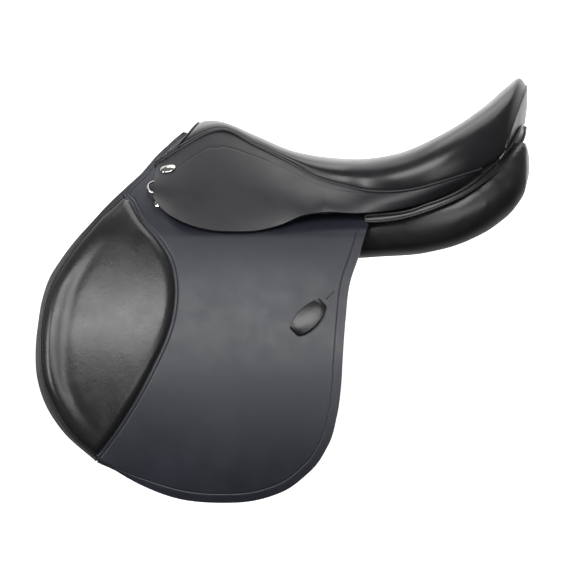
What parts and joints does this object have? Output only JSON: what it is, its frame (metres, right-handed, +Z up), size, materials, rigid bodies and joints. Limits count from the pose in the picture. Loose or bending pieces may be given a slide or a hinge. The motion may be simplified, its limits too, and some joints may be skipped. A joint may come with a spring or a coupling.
{
  "type": "english saddle",
  "caption": "Forward-cut jumping saddle on a sprung tree, with padded knee areas on lifting flaps, lifting skirts, stirrup bars, dees and girth straps.",
  "frame": {"origin": "on the mid-plane between the two panels, at the level where they rest on a rack", "axes": "+X from the pommel to the cantle, +Y to the horse's right side, +Z up"},
  "size_m": [0.5615, 0.3968, 0.482],
  "materials": {
    "seat_calf": "smooth black calf, glossy",
    "bridle_leather": "black bridle leather, satin",
    "panel_calf": "soft black calf over flocking, semi-gloss",
    "pad_calf": "soft black calf with fine creases, semi-gloss",
    "nickel": "polished nickel",
    "steel": "plain",
    "beech": "varnished laminate",
    "foam": "latex foam, matte",
    "webbing": "woven webbing, matte"
  },
  "bodies": {
    "root": {"arch_lining": "bridle_leather", "bar_rivet_front_L": "steel", "bar_rivet_front_R": "steel", "bar_rivet_rear_L": "steel", "bar_rivet_rear_R": "steel", "cantle_facing": "bridle_leather", "dee_nail_L": "nickel", "dee_nail_R": "nickel", "dee_tab_L": "bridle_leather", "dee_tab_R": "bridle_leather", "flap_top_L": "bridle_leather", "flap_top_R": "bridle_leather", "gullet_lining": "webbing", "gullet_plate": "steel", "knee_block_L": "pad_calf", "knee_block_R": "pad_calf", "panel_L": "panel_calf", "panel_R": "panel_calf", "panel_seam_L": "bridle_leather", "panel_seam_R": "bridle_leather", "seat_cover": "seat_calf", "seat_foam": "foam", "seat_webbing": "webbing", "seat_welt_L": "bridle_leather", "seat_welt_R": "bridle_leather", "skirt_L": "bridle_leather", "skirt_R": "bridle_leather", "stirrup_bar_L": "nickel", "stirrup_bar_R": "nickel", "stud_L": "nickel", "stud_R": "nickel", "sweat_flap_L": "bridle_leather", "sweat_flap_R": "bridle_leather", "tree_frame": "beech", "tree_head": "beech", "tree_spring_L": "steel", "tree_spring_R": "steel"},
    "flap_L": {"flap_L": "bridle_leather", "knee_pad_L": "pad_calf", "keeper_L": "bridle_leather"},
    "skirt_lobe_L": {"skirt_lobe_L": "bridle_leather"},
    "dee_L": {"dee_L": "nickel"},
    "bar_catch_L": {"bar_catch_L": "nickel", "catch_pin_L": "steel"},
    "girth_strap_front_L": {"girth_strap_front_L": "bridle_leather"},
    "girth_strap_middle_L": {"girth_strap_middle_L": "bridle_leather"},
    "girth_strap_rear_L": {"girth_strap_rear_L": "bridle_leather"},
    "buckle_guard_L": {"buckle_guard_L": "bridle_leather"},
    "flap_R": {"flap_R": "bridle_leather", "knee_pad_R": "pad_calf", "keeper_R": "bridle_leather"},
    "skirt_lobe_R": {"skirt_lobe_R": "bridle_leather"},
    "dee_R": {"dee_R": "nickel"},
    "bar_catch_R": {"bar_catch_R": "nickel", "catch_pin_R": "steel"},
    "girth_strap_front_R": {"girth_strap_front_R": "bridle_leather"},
    "girth_strap_middle_R": {"girth_strap_middle_R": "bridle_leather"},
    "girth_strap_rear_R": {"girth_strap_rear_R": "bridle_leather"},
    "buckle_guard_R": {"buckle_guard_R": "bridle_leather"}
  },
  "joints": [
    {"name": "flap_lift_left", "type": "hinge", "parent": "root", "child": "flap_L", "pos_m": [-0.12, -0.143, 0.022], "axis": [-1, 0, 0], "range_deg": [0, 95]},
    {"name": "skirt_lift_left", "type": "hinge", "parent": "root", "child": "skirt_lobe_L", "pos_m": [-0.215, -0.108, 0.088], "axis": [-0.9805, 0.1257, 0.1509], "range_deg": [0, 60]},
    {"name": "dee_swing_left", "type": "hinge", "parent": "root", "child": "dee_L", "pos_m": [-0.2105, -0.10151, 0.08392], "axis": [0, 0.6708, 0.7416], "range_deg": [0, 25]},
    {"name": "bar_catch_left", "type": "hinge", "parent": "root", "child": "bar_catch_L", "pos_m": [-0.072, -0.101, 0.071], "axis": [0, -1, 0], "range_deg": [0, 60]},
    {"name": "strap_front_swing_left", "type": "hinge", "parent": "root", "child": "girth_strap_front_L", "pos_m": [-0.108, -0.07585, 0.074], "axis": [0, 1, 0], "range_deg": [-6, 6]},
    {"name": "strap_middle_swing_left", "type": "hinge", "parent": "root", "child": "girth_strap_middle_L", "pos_m": [-0.072, -0.07585, 0.074], "axis": [0, 1, 0], "range_deg": [-6, 6]},
    {"name": "strap_rear_swing_left", "type": "hinge", "parent": "root", "child": "girth_strap_rear_L", "pos_m": [-0.036, -0.07585, 0.074], "axis": [0, 1, 0], "range_deg": [-6, 6]},
    {"name": "guard_slide_left", "type": "slide", "parent": "girth_strap_middle_L", "child": "buckle_guard_L", "axis": [0, 0.2166, 0.9763], "range_m": [-0.015, 0.02]},
    {"name": "flap_lift_right", "type": "hinge", "parent": "root", "child": "flap_R", "pos_m": [-0.12, 0.143, 0.022], "axis": [1, 0, 0], "range_deg": [0, 95]},
    {"name": "skirt_lift_right", "type": "hinge", "parent": "root", "child": "skirt_lobe_R", "pos_m": [-0.215, 0.108, 0.088], "axis": [0.9805, 0.1257, -0.1509], "range_deg": [0, 60]},
    {"name": "dee_swing_right", "type": "hinge", "parent": "root", "child": "dee_R", "pos_m": [-0.2105, 0.10151, 0.08392], "axis": [0, 0.6708, -0.7416], "range_deg": [0, 25]},
    {"name": "bar_catch_right", "type": "hinge", "parent": "root", "child": "bar_catch_R", "pos_m": [-0.072, 0.101, 0.071], "axis": [0, -1, 0], "range_deg": [0, 60]},
    {"name": "strap_front_swing_right", "type": "hinge", "parent": "root", "child": "girth_strap_front_R", "pos_m": [-0.108, 0.07585, 0.074], "axis": [0, 1, 0], "range_deg": [-6, 6]},
    {"name": "strap_middle_swing_right", "type": "hinge", "parent": "root", "child": "girth_strap_middle_R", "pos_m": [-0.072, 0.07585, 0.074], "axis": [0, 1, 0], "range_deg": [-6, 6]},
    {"name": "strap_rear_swing_right", "type": "hinge", "parent": "root", "child": "girth_strap_rear_R", "pos_m": [-0.036, 0.07585, 0.074], "axis": [0, 1, 0], "range_deg": [-6, 6]},
    {"name": "guard_slide_right", "type": "slide", "parent": "girth_strap_middle_R", "child": "buckle_guard_R", "axis": [0, -0.2166, 0.9763], "range_m": [-0.015, 0.02]}
  ],
  "couplings": [
    {"joint": "strap_front_swing_left", "follows": "strap_middle_swing_left", "ratio": 1},
    {"joint": "strap_rear_swing_left", "follows": "strap_middle_swing_left", "ratio": 1},
    {"joint": "strap_front_swing_right", "follows": "strap_middle_swing_right", "ratio": 1},
    {"joint": "strap_rear_swing_right", "follows": "strap_middle_swing_right", "ratio": 1}
  ]
}
